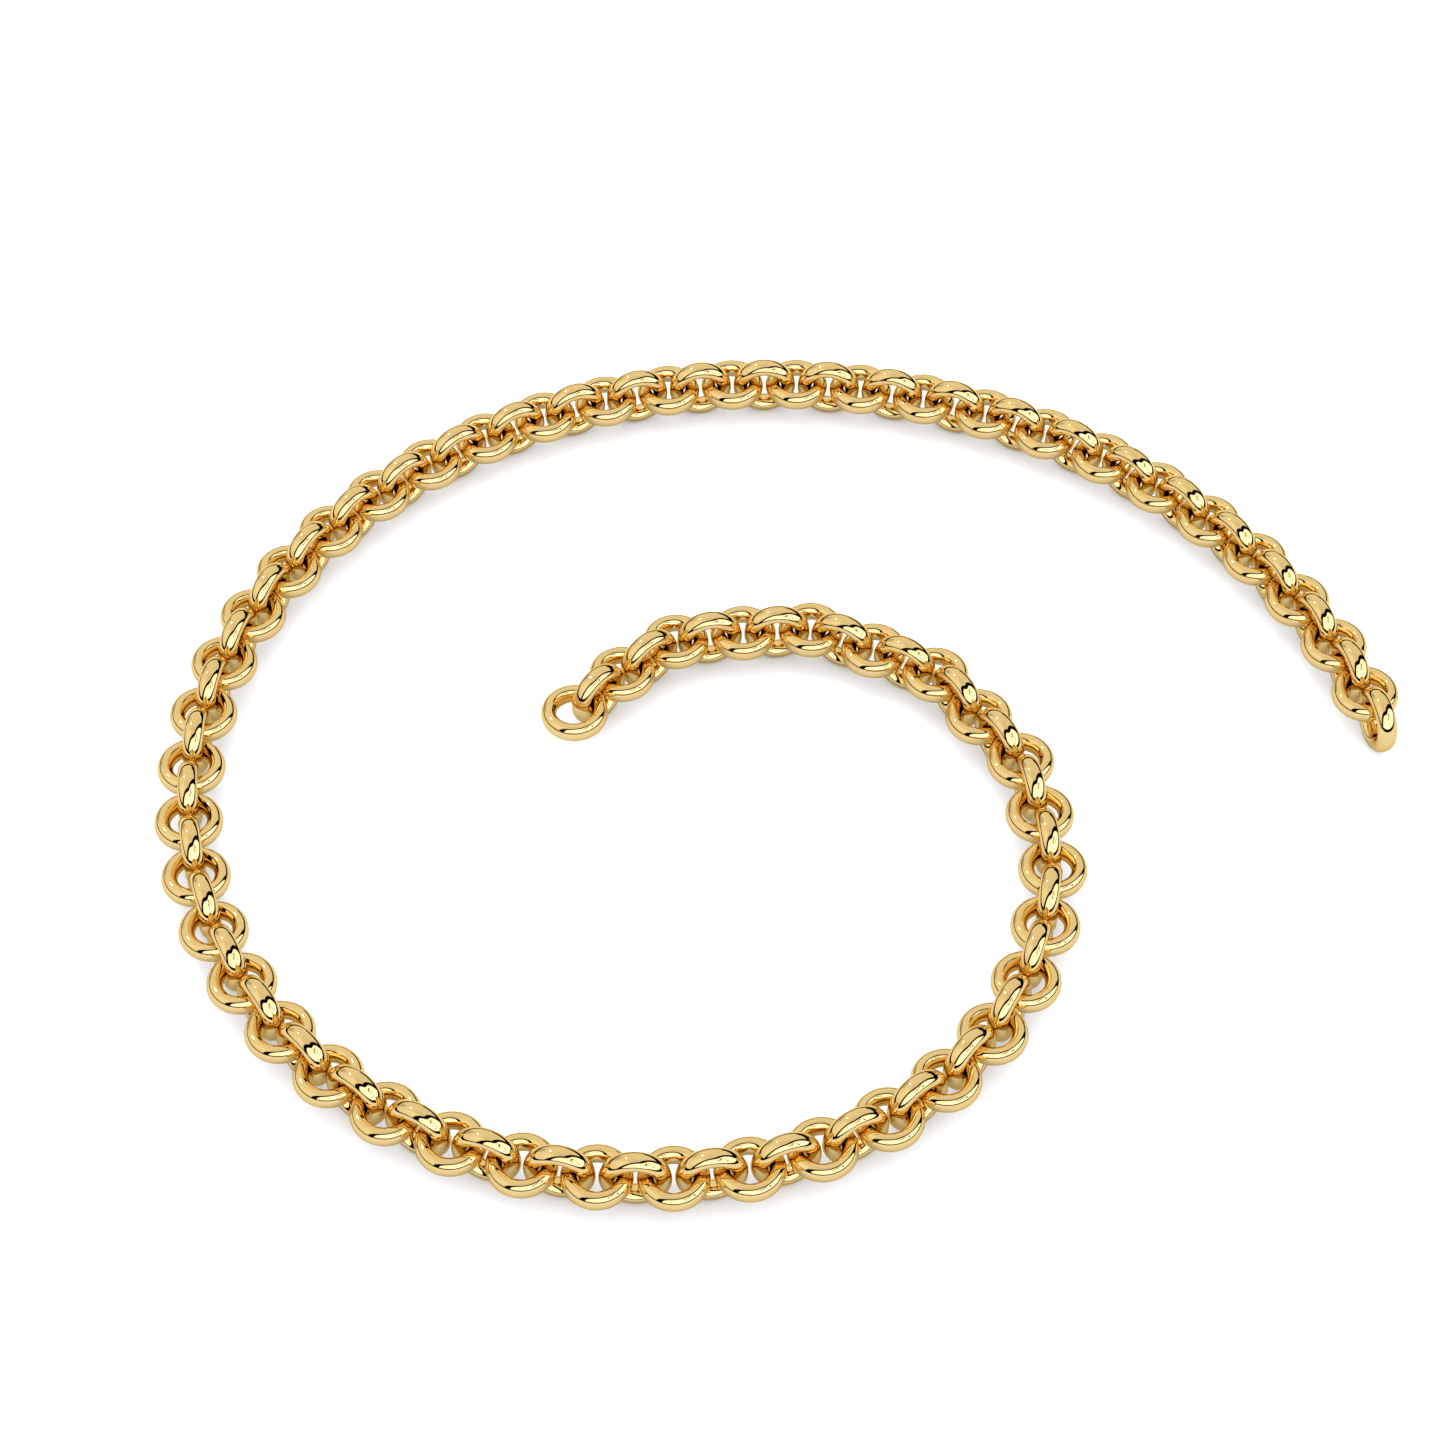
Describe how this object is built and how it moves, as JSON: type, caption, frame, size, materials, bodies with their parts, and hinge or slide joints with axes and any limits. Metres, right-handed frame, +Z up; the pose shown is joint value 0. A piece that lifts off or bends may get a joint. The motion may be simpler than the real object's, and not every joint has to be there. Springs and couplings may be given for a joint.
{
  "type": "chain necklace",
  "caption": "Polished gold rolo chain necklace of thick round rings, flat and on edge in turn, lying in an open spiral with both ends free for a clasp.",
  "frame": {"origin": "on the ground plane under the middle of the coiled chain's outline", "axes": "+Z up, the flat rings lie level; +X along the coil's longest extent; the chain curls clockwise going outward, and its outer end is towards +X"},
  "size_m": [0.1496, 0.132, 0.0081],
  "materials": {
    "gold": "high polish, gold plated"
  },
  "bodies": {
    "flat_000": {"flat_000": "gold"},
    "standing_001": {"standing_001": "gold"},
    "flat_002": {"flat_002": "gold"},
    "standing_003": {"standing_003": "gold"},
    "flat_and_standing_004_005": {"flat_and_standing_004_005": "gold"},
    "flat_and_standing_006_007": {"flat_and_standing_006_007": "gold"},
    "flat_and_standing_008_009": {"flat_and_standing_008_009": "gold"},
    "flat_and_standing_010_011": {"flat_and_standing_010_011": "gold"},
    "flat_and_standing_012_013": {"flat_and_standing_012_013": "gold"},
    "flat_and_standing_014_015": {"flat_and_standing_014_015": "gold"},
    "flat_and_standing_016_017": {"flat_and_standing_016_017": "gold"},
    "flat_and_standing_018_019": {"flat_and_standing_018_019": "gold"},
    "flat_and_standing_020_021": {"flat_and_standing_020_021": "gold"},
    "flat_and_standing_022_023": {"flat_and_standing_022_023": "gold"},
    "flat_and_standing_024_025": {"flat_and_standing_024_025": "gold"},
    "flat_and_standing_026_027": {"flat_and_standing_026_027": "gold"},
    "flat_and_standing_028_029": {"flat_and_standing_028_029": "gold"},
    "flat_and_standing_030_031": {"flat_and_standing_030_031": "gold"},
    "flat_and_standing_032_033": {"flat_and_standing_032_033": "gold"},
    "flat_and_standing_034_035": {"flat_and_standing_034_035": "gold"},
    "flat_and_standing_036_037": {"flat_and_standing_036_037": "gold"},
    "flat_and_standing_038_039": {"flat_and_standing_038_039": "gold"},
    "flat_and_standing_040_041": {"flat_and_standing_040_041": "gold"},
    "flat_and_standing_042_043": {"flat_and_standing_042_043": "gold"},
    "flat_and_standing_044_045": {"flat_and_standing_044_045": "gold"},
    "flat_and_standing_046_047": {"flat_and_standing_046_047": "gold"},
    "flat_and_standing_048_049": {"flat_and_standing_048_049": "gold"},
    "flat_and_standing_050_051": {"flat_and_standing_050_051": "gold"},
    "flat_and_standing_052_053": {"flat_and_standing_052_053": "gold"},
    "flat_and_standing_054_055": {"flat_and_standing_054_055": "gold"},
    "flat_and_standing_056_057": {"flat_and_standing_056_057": "gold"},
    "flat_and_standing_058_059": {"flat_and_standing_058_059": "gold"},
    "flat_and_standing_060_061": {"flat_and_standing_060_061": "gold"},
    "flat_and_standing_062_063": {"flat_and_standing_062_063": "gold"},
    "flat_and_standing_064_065": {"flat_and_standing_064_065": "gold"},
    "flat_and_standing_066_067": {"flat_and_standing_066_067": "gold"},
    "flat_and_standing_068_069": {"flat_and_standing_068_069": "gold"},
    "flat_and_standing_070_071": {"flat_and_standing_070_071": "gold"},
    "flat_and_standing_072_073": {"flat_and_standing_072_073": "gold"},
    "flat_and_standing_074_075": {"flat_and_standing_074_075": "gold"},
    "flat_and_standing_076_077": {"flat_and_standing_076_077": "gold"},
    "flat_and_standing_078_079": {"flat_and_standing_078_079": "gold"},
    "flat_and_standing_080_081": {"flat_and_standing_080_081": "gold"},
    "flat_and_standing_082_083": {"flat_and_standing_082_083": "gold"},
    "flat_and_standing_084_085": {"flat_and_standing_084_085": "gold"},
    "flat_and_standing_086_087": {"flat_and_standing_086_087": "gold"},
    "flat_and_standing_088_089": {"flat_and_standing_088_089": "gold"},
    "flat_and_standing_090_091": {"flat_and_standing_090_091": "gold"},
    "flat_and_standing_092_093": {"flat_and_standing_092_093": "gold"},
    "flat_and_standing_094_095": {"flat_and_standing_094_095": "gold"},
    "flat_and_standing_096_097": {"flat_and_standing_096_097": "gold"},
    "flat_and_standing_098_099": {"flat_and_standing_098_099": "gold"},
    "flat_and_standing_100_101": {"flat_and_standing_100_101": "gold"},
    "flat_and_standing_102_103": {"flat_and_standing_102_103": "gold"},
    "flat_104": {"flat_104": "gold"},
    "standing_105": {"standing_105": "gold"},
    "flat_106": {"flat_106": "gold"},
    "standing_107": {"standing_107": "gold"}
  },
  "joints": [
    {"name": "lift_at_001", "type": "hinge", "parent": "standing_001", "child": "flat_000", "pos_m": [-0.02238, 0.00834, 0.00405], "axis": [-0.7396, 0.673, 0], "range_deg": [-20, 44]},
    {"name": "lift_at_003", "type": "hinge", "parent": "standing_003", "child": "flat_002", "pos_m": [-0.0163, 0.0141, 0.00405], "axis": [-0.6334, 0.7738, 0], "range_deg": [0, 44]},
    {"name": "lift_at_103", "type": "hinge", "parent": "flat_and_standing_102_103", "child": "flat_104", "pos_m": [0.06586, 0.0199, 0.00405], "axis": [-0.893, -0.4501, 0], "range_deg": [0, 44]},
    {"name": "lift_at_105", "type": "hinge", "parent": "standing_105", "child": "flat_106", "pos_m": [0.06923, 0.01222, 0.00405], "axis": [-0.9358, -0.3527, 0], "range_deg": [0, 44]},
    {"name": "swing_at_002", "type": "hinge", "parent": "flat_002", "child": "standing_001", "pos_m": [-0.01955, 0.01144, 0.00405], "axis": [0, 0, 1], "range_deg": [-52, 35]},
    {"name": "swing_at_004", "type": "hinge", "parent": "flat_and_standing_004_005", "child": "standing_003", "pos_m": [-0.01305, 0.01676, 0.00405], "axis": [0, 0, 1], "range_deg": [-55, 14]},
    {"name": "swing_at_006", "type": "hinge", "parent": "flat_and_standing_006_007", "child": "flat_and_standing_004_005", "pos_m": [-0.00477, 0.01821, 0.00405], "axis": [0, 0, 1], "range_deg": [-50, 37]},
    {"name": "swing_at_008", "type": "hinge", "parent": "flat_and_standing_008_009", "child": "flat_and_standing_006_007", "pos_m": [0.00361, 0.01872, 0.00405], "axis": [0, 0, 1], "range_deg": [-55, 16]},
    {"name": "swing_at_010", "type": "hinge", "parent": "flat_and_standing_010_011", "child": "flat_and_standing_008_009", "pos_m": [0.01129, 0.01532, 0.00405], "axis": [0, 0, 1], "range_deg": [-48, 39]},
    {"name": "swing_at_012", "type": "hinge", "parent": "flat_and_standing_012_013", "child": "flat_and_standing_010_011", "pos_m": [0.01869, 0.01133, 0.00405], "axis": [0, 0, -1], "range_deg": [-18, 55]},
    {"name": "swing_at_014", "type": "hinge", "parent": "flat_and_standing_014_015", "child": "flat_and_standing_012_013", "pos_m": [0.02366, 0.00456, 0.00405], "axis": [0, 0, -1], "range_deg": [-41, 46]},
    {"name": "swing_at_016", "type": "hinge", "parent": "flat_and_standing_016_017", "child": "flat_and_standing_014_015", "pos_m": [0.02834, -0.00241, 0.00405], "axis": [0, 0, -1], "range_deg": [-22, 55]},
    {"name": "swing_at_018", "type": "hinge", "parent": "flat_and_standing_018_019", "child": "flat_and_standing_016_017", "pos_m": [0.03019, -0.0106, 0.00405], "axis": [0, 0, -1], "range_deg": [-38, 49]},
    {"name": "swing_at_020", "type": "hinge", "parent": "flat_and_standing_020_021", "child": "flat_and_standing_018_019", "pos_m": [0.03124, -0.01894, 0.00405], "axis": [0, 0, -1], "range_deg": [-27, 55]},
    {"name": "swing_at_022", "type": "hinge", "parent": "flat_and_standing_022_023", "child": "flat_and_standing_020_021", "pos_m": [0.02992, -0.02723, 0.00405], "axis": [0, 0, 1], "range_deg": [-53, 34]},
    {"name": "swing_at_024", "type": "hinge", "parent": "flat_and_standing_024_025", "child": "flat_and_standing_022_023", "pos_m": [0.02727, -0.0352, 0.00405], "axis": [0, 0, 1], "range_deg": [-55, 32]},
    {"name": "swing_at_026", "type": "hinge", "parent": "flat_and_standing_026_027", "child": "flat_and_standing_024_025", "pos_m": [0.02311, -0.0425, 0.00405], "axis": [0, 0, 1], "range_deg": [-53, 33]},
    {"name": "swing_at_028", "type": "hinge", "parent": "flat_and_standing_028_029", "child": "flat_and_standing_026_027", "pos_m": [0.01764, -0.04887, 0.00405], "axis": [0, 0, 1], "range_deg": [-54, 33]},
    {"name": "swing_at_030", "type": "hinge", "parent": "flat_and_standing_030_031", "child": "flat_and_standing_028_029", "pos_m": [0.01108, -0.05412, 0.00405], "axis": [0, 0, 1], "range_deg": [-54, 33]},
    {"name": "swing_at_032", "type": "hinge", "parent": "flat_and_standing_032_033", "child": "flat_and_standing_030_031", "pos_m": [0.00368, -0.05809, 0.00405], "axis": [0, 0, -1], "range_deg": [-33, 54]},
    {"name": "swing_at_034", "type": "hinge", "parent": "flat_and_standing_034_035", "child": "flat_and_standing_032_033", "pos_m": [-0.00431, -0.0607, 0.00405], "axis": [0, 0, -1], "range_deg": [-34, 53]},
    {"name": "swing_at_036", "type": "hinge", "parent": "flat_and_standing_036_037", "child": "flat_and_standing_034_035", "pos_m": [-0.01262, -0.06191, 0.00405], "axis": [0, 0, -1], "range_deg": [-33, 53]},
    {"name": "swing_at_038", "type": "hinge", "parent": "flat_and_standing_038_039", "child": "flat_and_standing_036_037", "pos_m": [-0.02102, -0.06172, 0.00405], "axis": [0, 0, -1], "range_deg": [-33, 53]},
    {"name": "swing_at_040", "type": "hinge", "parent": "flat_and_standing_040_041", "child": "flat_and_standing_038_039", "pos_m": [-0.02927, -0.06017, 0.00405], "axis": [0, 0, -1], "range_deg": [-31, 53]},
    {"name": "swing_at_042", "type": "hinge", "parent": "flat_and_standing_042_043", "child": "flat_and_standing_040_041", "pos_m": [-0.03719, -0.05735, 0.00405], "axis": [0, 0, 1], "range_deg": [-52, 31]},
    {"name": "swing_at_044", "type": "hinge", "parent": "flat_and_standing_044_045", "child": "flat_and_standing_042_043", "pos_m": [-0.04457, -0.05335, 0.00405], "axis": [0, 0, 1], "range_deg": [-52, 31]},
    {"name": "swing_at_046", "type": "hinge", "parent": "flat_and_standing_046_047", "child": "flat_and_standing_044_045", "pos_m": [-0.05126, -0.04827, 0.00405], "axis": [0, 0, 1], "range_deg": [-52, 31]},
    {"name": "swing_at_048", "type": "hinge", "parent": "flat_and_standing_048_049", "child": "flat_and_standing_046_047", "pos_m": [-0.05712, -0.04225, 0.00405], "axis": [0, 0, 1], "range_deg": [-52, 29]},
    {"name": "swing_at_050", "type": "hinge", "parent": "flat_and_standing_050_051", "child": "flat_and_standing_048_049", "pos_m": [-0.06202, -0.03543, 0.00405], "axis": [0, 0, 1], "range_deg": [-52, 29]},
    {"name": "swing_at_052", "type": "hinge", "parent": "flat_and_standing_052_053", "child": "flat_and_standing_050_051", "pos_m": [-0.06588, -0.02797, 0.00405], "axis": [0, 0, -1], "range_deg": [-29, 52]},
    {"name": "swing_at_054", "type": "hinge", "parent": "flat_and_standing_054_055", "child": "flat_and_standing_052_053", "pos_m": [-0.06864, -0.02003, 0.00405], "axis": [0, 0, -1], "range_deg": [-27, 52]},
    {"name": "swing_at_056", "type": "hinge", "parent": "flat_and_standing_056_057", "child": "flat_and_standing_054_055", "pos_m": [-0.07025, -0.01179, 0.00405], "axis": [0, 0, -1], "range_deg": [-27, 51]},
    {"name": "swing_at_058", "type": "hinge", "parent": "flat_and_standing_058_059", "child": "flat_and_standing_056_057", "pos_m": [-0.07071, -0.0034, 0.00405], "axis": [0, 0, -1], "range_deg": [-27, 51]},
    {"name": "swing_at_060", "type": "hinge", "parent": "flat_and_standing_060_061", "child": "flat_and_standing_058_059", "pos_m": [-0.07002, 0.00497, 0.00405], "axis": [0, 0, -1], "range_deg": [-27, 51]},
    {"name": "swing_at_062", "type": "hinge", "parent": "flat_and_standing_062_063", "child": "flat_and_standing_060_061", "pos_m": [-0.06822, 0.01318, 0.00405], "axis": [0, 0, 1], "range_deg": [-51, 27]},
    {"name": "swing_at_064", "type": "hinge", "parent": "flat_and_standing_064_065", "child": "flat_and_standing_062_063", "pos_m": [-0.06536, 0.02107, 0.00405], "axis": [0, 0, 1], "range_deg": [-51, 27]},
    {"name": "swing_at_066", "type": "hinge", "parent": "flat_and_standing_066_067", "child": "flat_and_standing_064_065", "pos_m": [-0.0615, 0.02853, 0.00405], "axis": [0, 0, 1], "range_deg": [-51, 27]},
    {"name": "swing_at_068", "type": "hinge", "parent": "flat_and_standing_068_069", "child": "flat_and_standing_066_067", "pos_m": [-0.05672, 0.03544, 0.00405], "axis": [0, 0, 1], "range_deg": [-51, 27]},
    {"name": "swing_at_070", "type": "hinge", "parent": "flat_and_standing_070_071", "child": "flat_and_standing_068_069", "pos_m": [-0.05112, 0.0417, 0.00405], "axis": [0, 0, 1], "range_deg": [-51, 27]},
    {"name": "swing_at_072", "type": "hinge", "parent": "flat_and_standing_072_073", "child": "flat_and_standing_070_071", "pos_m": [-0.04479, 0.04723, 0.00405], "axis": [0, 0, -1], "range_deg": [-25, 50]},
    {"name": "swing_at_074", "type": "hinge", "parent": "flat_and_standing_074_075", "child": "flat_and_standing_072_073", "pos_m": [-0.03785, 0.05196, 0.00405], "axis": [0, 0, -1], "range_deg": [-25, 50]},
    {"name": "swing_at_076", "type": "hinge", "parent": "flat_and_standing_076_077", "child": "flat_and_standing_074_075", "pos_m": [-0.03039, 0.05582, 0.00405], "axis": [0, 0, -1], "range_deg": [-25, 50]},
    {"name": "swing_at_078", "type": "hinge", "parent": "flat_and_standing_078_079", "child": "flat_and_standing_076_077", "pos_m": [-0.02253, 0.05878, 0.00405], "axis": [0, 0, -1], "range_deg": [-25, 50]},
    {"name": "swing_at_080", "type": "hinge", "parent": "flat_and_standing_080_081", "child": "flat_and_standing_078_079", "pos_m": [-0.01437, 0.06079, 0.00405], "axis": [0, 0, -1], "range_deg": [-25, 50]},
    {"name": "swing_at_082", "type": "hinge", "parent": "flat_and_standing_080_081", "child": "flat_and_standing_082_083", "pos_m": [-0.00604, 0.06184, 0.00405], "axis": [0, 0, -1], "range_deg": [-50, 25]},
    {"name": "swing_at_084", "type": "hinge", "parent": "flat_and_standing_082_083", "child": "flat_and_standing_084_085", "pos_m": [0.00236, 0.06191, 0.00405], "axis": [0, 0, -1], "range_deg": [-50, 25]},
    {"name": "swing_at_086", "type": "hinge", "parent": "flat_and_standing_084_085", "child": "flat_and_standing_086_087", "pos_m": [0.01071, 0.06102, 0.00405], "axis": [0, 0, -1], "range_deg": [-50, 27]},
    {"name": "swing_at_088", "type": "hinge", "parent": "flat_and_standing_086_087", "child": "flat_and_standing_088_089", "pos_m": [0.01891, 0.05918, 0.00405], "axis": [0, 0, -1], "range_deg": [-50, 27]},
    {"name": "swing_at_090", "type": "hinge", "parent": "flat_and_standing_088_089", "child": "flat_and_standing_090_091", "pos_m": [0.02684, 0.05642, 0.00405], "axis": [0, 0, -1], "range_deg": [-50, 31]},
    {"name": "swing_at_092", "type": "hinge", "parent": "flat_and_standing_090_091", "child": "flat_and_standing_092_093", "pos_m": [0.03442, 0.05279, 0.00405], "axis": [0, 0, 1], "range_deg": [-33, 50]},
    {"name": "swing_at_094", "type": "hinge", "parent": "flat_and_standing_092_093", "child": "flat_and_standing_094_095", "pos_m": [0.04154, 0.04834, 0.00405], "axis": [0, 0, 1], "range_deg": [-37, 50]},
    {"name": "swing_at_096", "type": "hinge", "parent": "flat_and_standing_094_095", "child": "flat_and_standing_096_097", "pos_m": [0.04813, 0.04313, 0.00405], "axis": [0, 0, 1], "range_deg": [-37, 50]},
    {"name": "swing_at_098", "type": "hinge", "parent": "flat_and_standing_096_097", "child": "flat_and_standing_098_099", "pos_m": [0.05411, 0.03723, 0.00405], "axis": [0, 0, 1], "range_deg": [-37, 50]},
    {"name": "swing_at_100", "type": "hinge", "parent": "flat_and_standing_098_099", "child": "flat_and_standing_100_101", "pos_m": [0.0594, 0.03071, 0.00405], "axis": [0, 0, 1], "range_deg": [-37, 50]},
    {"name": "swing_at_102", "type": "hinge", "parent": "flat_and_standing_100_101", "child": "flat_and_standing_102_103", "pos_m": [0.06397, 0.02365, 0.00405], "axis": [0, 0, -1], "range_deg": [-50, 37]},
    {"name": "swing_at_104", "type": "hinge", "parent": "flat_104", "child": "standing_105", "pos_m": [0.06775, 0.01615, 0.00405], "axis": [0, 0, -1], "range_deg": [-50, 37]},
    {"name": "swing_at_106", "type": "hinge", "parent": "flat_106", "child": "standing_107", "pos_m": [0.07071, 0.00829, 0.00405], "axis": [0, 0, -1], "range_deg": [-50, 37]}
  ]
}
